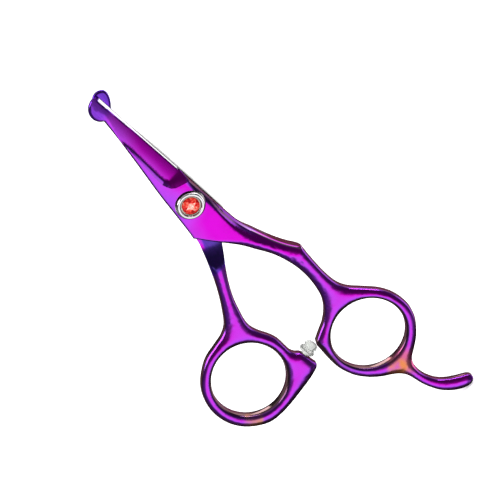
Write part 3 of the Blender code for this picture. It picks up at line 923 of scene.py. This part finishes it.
def build_screw():
    material = polished_steel("polished_steel")
    profile = rounded([(0, 2.75), (3.0, 2.75), (3.04, 3.4), (3.12, 3.74), (3.72, 3.8), (4.0, 3.58),
                       (4.12, 3.15), (4.15, 2.3), (1.85, 2.3), (1.85, -1.5), (1.6, -1.75),
                       (0, -1.75)], 0.12)
    piece = lathe("tension_screw_steel", profile, 128, material)
    stand_for(piece, "pivot_screw", "tension_screw")


def build_cup():
    material = polished_steel("setting_metal", (0.80, 0.76, 0.66), 0.16)
    profile = rounded([(0, 3.05), (2.72, 3.05), (2.75, 3.4), (2.9, 3.4), (2.92, 2.9), (0, 2.9)], 0.03)
    piece = lathe("stone_cup_metal", profile, 96, material)
    stand_for(piece, "gem_cup", "tension_screw")


# Painted reflections: a fixed brightness for each facet of the stone
STONE_SPARKLE = (0.45, 0.2, 0.62, 0.3, 0.5, 0.12, 0.7, 0.35)


def build_stone():
    """Round stone in a brilliant cut of eight: table, star, kite and girdle facets."""
    sides = 8
    rings = ((0.95, 3.78, 0.5), (1.8, 3.64, 0.0), (2.6, 3.33, 0.5), (2.6, 3.33, 0.0))
    points = []
    for radius, height, shift in rings:
        for i in range(sides):
            angle = 2 * pi * (i + shift) / sides
            points.append((radius * cos(angle), radius * sin(angle), height))
    rim = 2 * sides
    rim_order = []
    for i in range(sides):
        rim_order += [3 * sides + i, rim + i]
    base = len(points)
    for index in rim_order:
        x, y, _height = points[index]
        points.append((x, y, 3.2))
    faces = [tuple(range(sides))]
    # Painted reflections: each facet gets a fixed brightness, the table the palest
    sparkle_tones = [0.85]
    for i in range(sides):
        before = (i - 1) % sides
        after = (i + 1) % sides
        kite = sides + i
        faces.append((before, kite, i))
        sparkle_tones.append(STONE_SPARKLE[(3 * i + 2) % sides] + 0.22)
        faces.append((i, kite, rim + i, sides + after))
        sparkle_tones.append(STONE_SPARKLE[i])
        faces.append((kite, 3 * sides + i, rim + i))
        sparkle_tones.append(STONE_SPARKLE[(5 * i + 1) % sides] - 0.1)
        faces.append((kite, rim + before, 3 * sides + i))
        sparkle_tones.append(STONE_SPARKLE[(3 * i + 5) % sides])
    count = len(rim_order)
    for i in range(count):
        j = (i + 1) % count
        faces.append((rim_order[i], base + i, base + j, rim_order[j]))
        sparkle_tones.append(0.1)
    faces.append(tuple(base + i for i in reversed(range(count))))
    sparkle_tones.append(0.1)
    piece = make_mesh("red_stone_cut", points, faces, [stone_material("red_stone")])
    piece.data.shade_flat()
    attribute = piece.data.attributes.new("facet_sparkle", "FLOAT", "FACE")
    attribute.data.foreach_set("value", sparkle_tones)
    stand_for(piece, "gem", "tension_screw")


def build_washers():
    spring = ring_profile([(2.15, 2.17), (3.95, 2.02), (3.95, 1.85), (2.15, 2.0)])
    material = polished_steel("spring_steel", (0.62, 0.62, 0.64), 0.26)
    piece = lathe("cone_washer_steel", spring, 96, material)
    stand_for(piece, "spring_washer", "washers")
    nylon = ring_profile([(2.15, 1.7), (4.0, 1.7), (4.0, 1.45), (2.15, 1.45)])
    material = plastic_material("white_nylon", (0.83, 0.83, 0.80), 0.42)
    piece = lathe("flat_washer_nylon", nylon, 96, material)
    stand_for(piece, "nylon_washer", "washers")


def build_bushing():
    profile = ring_profile([(2.1, 1.1), (2.8, 1.1), (2.8, 0.25), (2.1, 0.25)])
    material = plastic_material("natural_nylon", (0.80, 0.80, 0.74), 0.46)
    stand_for(lathe("bushing_nylon", profile, 96, material), "pivot_bushing", "finger_half")


def build_nut():
    profile = rounded([(0, -2.1), (2.1, -2.1), (2.1, -0.4), (3.0, -0.4), (3.0, -2.05), (4.5, -2.05),
                       (4.5, -2.8), (4.25, -3.05), (0, -3.05)], 0.1)
    nut = lathe("pivot_nut_steel", profile, 96, polished_steel("nut_steel", (0.77, 0.78, 0.80), 0.13))
    for offset in (-2.9, 2.9):
        hole = [(0, -2.45), (0.5, -2.45), (0.5, -4.0), (0, -4.0)]
        aim = Matrix.Translation((offset, 0, 0))
        cut(nut, lathe("spanner_hole", hole, 32, nut.data.materials[0], aim))
    stand_for(nut, "pivot_nut", "thumb_half")


def cut(piece, cutter):
    """Exact Boolean difference, applied to the piece's mesh."""
    modifier = piece.modifiers.new("cut", "BOOLEAN")
    modifier.operation = "DIFFERENCE"
    modifier.solver = "EXACT"
    modifier.object = cutter
    bpy.context.view_layer.update()
    evaluated = piece.evaluated_get(bpy.context.evaluated_depsgraph_get())
    mesh = bpy.data.meshes.new_from_object(evaluated)
    piece.modifiers.remove(modifier)
    piece.data = mesh
    mesh.set_sharp_from_angle(angle=radians(32))
    bpy.data.objects.remove(cutter, do_unlink=True)


BUMPER_BASE = (-3.85, -60.0)
BUMPER_LEAN = atan2(0.217, 0.976)


def bumper_aim():
    """From upright along h to lying along the bumper's own axis in the plane of the scissors."""
    turn = Matrix.Rotation(BUMPER_LEAN, 4, "Z") @ Matrix.Rotation(radians(90), 4, "Y")
    return Matrix.Translation((*BUMPER_BASE, 0)) @ turn


def build_bumper():
    """Clear push-in plug with rounded ribs."""
    profile = [(0, 3.95), (0.7, 3.9), (1.25, 3.7), (1.65, 3.35), (1.9, 2.95), (2.0, 2.5), (1.96, 2.2),
               (1.76, 1.95), (1.82, 1.7), (2.15, 1.45), (2.35, 1.1), (2.38, 0.8), (2.3, 0.62), (2.2, 0.5),
               (2.15, 0.35), (2.0, 0.2), (1.1, 0.2), (1.1, -2.2), (0.9, -2.4), (0, -2.4)]
    material = plastic_material("clear_plastic", (0.62, 0.64, 0.61), 0.07, transmission=0.75, grain=420,
                                strength=0.35)
    piece = lathe("bumper_clear", rounded(profile, 0.1, 2), 64, material, bumper_aim(), sharp=60)
    stand_for(piece, "bumper", "thumb_half")


# ---- stage

FLOOR_DROP = 0.0004
FLOOR_HALF = 10.0
VIEW_AZIMUTH = radians(7.0)
VIEW_ELEVATION = radians(26.1)
VIEW_ROLL = radians(-41.6)
VIEW_WIDTH = 0.1404
VIEW_LENS = 1500  # a very long lens, so hardly any perspective
VIEW_SHIFT = (0.01727, -0.01371)  # from the pivot to the middle of the view: right, up


def view_axes():
    """Right, up and backward directions of the camera."""
    back = Vector((sin(VIEW_AZIMUTH) * cos(VIEW_ELEVATION), -cos(VIEW_AZIMUTH) * cos(VIEW_ELEVATION),
                   sin(VIEW_ELEVATION)))
    level = Vector((cos(VIEW_AZIMUTH), sin(VIEW_AZIMUTH), 0))
    upright = back.cross(level)
    right = level * cos(VIEW_ROLL) + upright * sin(VIEW_ROLL)
    return right, back.cross(right), back


def build_camera():
    right, up, back = view_axes()
    camera = bpy.data.cameras.new("camera")
    camera.lens = VIEW_LENS
    camera.clip_start = 0.01
    camera.clip_end = 20
    obj = new_object("camera", camera)
    aim = Vector((0, CONTACT_Y, 0)) + right * VIEW_SHIFT[0] + up * VIEW_SHIFT[1]
    away = back * (VIEW_WIDTH * VIEW_LENS / camera.sensor_width)
    obj.matrix_world = Matrix.Translation(aim + away) @ Matrix((right, up, back)).transposed().to_4x4()
    bpy.context.scene.camera = obj


def build_floor():
    low, _high = cad_box
    mesh = bpy.data.meshes.new("floor")
    z = low.z - FLOOR_DROP
    corners = [(x * FLOOR_HALF, y * FLOOR_HALF, z) for x, y in ((-1, -1), (1, -1), (1, 1), (-1, 1))]
    mesh.from_pydata(corners, [], [(0, 1, 2, 3)])
    floor = new_object("floor", mesh)
    material, graph, shader = new_material("pale_floor", roughness=0.35)
    mottle = graph.noise(6, detail=2.0)
    tone = graph.mix(mottle, (0.93, 0.93, 0.935), (0.96, 0.96, 0.96))
    set_finish(graph, shader, tone)
    graph.feed(tone, shader.inputs["Emission Color"])
    shader.inputs["Emission Strength"].default_value = 0.35
    mesh.materials.append(material)
    floor.visible_glossy = False


# Brightness of the surroundings by the height z of a direction, as the polished steel mirrors them
ROOM = ((-1.0, 0.06), (-0.84, 0.09), (-0.7, 0.30), (-0.56, 0.55), (-0.42, 0.62), (-0.28, 0.55),
        (-0.16, 0.38), (-0.06, 0.24), (0.06, 0.13), (0.18, 0.08), (0.52, 0.07), (0.7, 0.16),
        (0.86, 0.4), (1.0, 0.6))

# Extra patches: direction, full and faded half angles in degrees, colour
PATCHES = (((-0.16, -0.86, -0.47), 8, 26, (1.2, 1.2, 1.2)),
           ((0.75, -0.63, -0.2), 20, 46, (0.06, 0.06, 0.08)),
           ((0.64, 0.72, -0.28), 16, 44, (1.1, 1.1, 1.1)),
           ((0.86, 0.12, -0.5), 16, 34, (1.7, 1.65, 1.7)),
           ((-0.85, -0.38, -0.37), 16, 42, (0.12, 0.12, 0.16)),
           ((0.74, 0.60, 0.30), 8, 28, (2.0, 1.85, 1.95)),
           ((-0.75, 0.64, 0.12), 14, 34, (0.55, 0.52, 0.52)),
           ((-0.5, 0.5, 0.7), 10, 24, (0.5, 0.5, 0.5)))


def build_world():
    """Bright band of table below the horizon, a dark room with a pale ceiling, a few soft panels."""
    world = bpy.data.worlds.new("studio")
    bpy.context.scene.world = world
    world.use_nodes = True
    world.node_tree.nodes.clear()
    graph = Graph(world.node_tree)
    direction = graph.add("TexCoord").outputs["Generated"]
    height = graph.add("SeparateXYZ", {"Vector": direction}).outputs["Z"]
    stops = [((z + 1) / 2, (value, value, value * 1.02)) for z, value in ROOM]
    tint = graph.colours(graph.range(height, -1, 1, smooth=False), *stops).outputs["Color"]
    for centre, inner, outer, colour in PATCHES:
        aligned = graph.vector("DOT_PRODUCT", direction, Vector(centre).normalized())
        amount = graph.range(aligned.outputs["Value"], cos(radians(outer)), cos(radians(inner)))
        tint = graph.mix(amount, tint, colour)
    path = graph.add("LightPath")
    plain = graph.math("MAXIMUM", path.outputs["Is Camera Ray"], path.outputs["Is Diffuse Ray"])
    shown = graph.mix(plain, tint, (1.0, 1.0, 1.0))
    graph.add("OutputWorld", {"Surface": graph.add("Background", {"Color": shown, "Strength": 1.0})})


def soft_light(name, direction, distance, width, height, power):
    light = bpy.data.lights.new(name, "AREA")
    light.shape = "RECTANGLE"
    light.size = width
    light.size_y = height
    light.energy = power
    obj = new_object(name, light)
    away = Vector(direction).normalized()
    obj.location = Vector((0, CONTACT_Y, -0.03)) + away * distance
    obj.rotation_euler = away.to_track_quat("Z", "Y").to_euler()


def build_lights():
    soft_light("key_light", (-0.75, -0.35, 0.75), 0.9, 0.5, 0.5, 3.0)
    soft_light("rim_light", (0.8, -0.1, 0.7), 0.9, 0.12, 0.7, 2.0)
    soft_light("back_light", (0.2, 0.9, 0.5), 0.9, 0.5, 0.3, 2.0)


build_finger_half()
build_thumb_half()
build_screw()
build_cup()
build_stone()
build_washers()
build_bushing()
build_nut()
build_bumper()
build_floor()
build_world()
build_lights()
build_camera()
bpy.context.scene.view_settings.view_transform = "Standard"
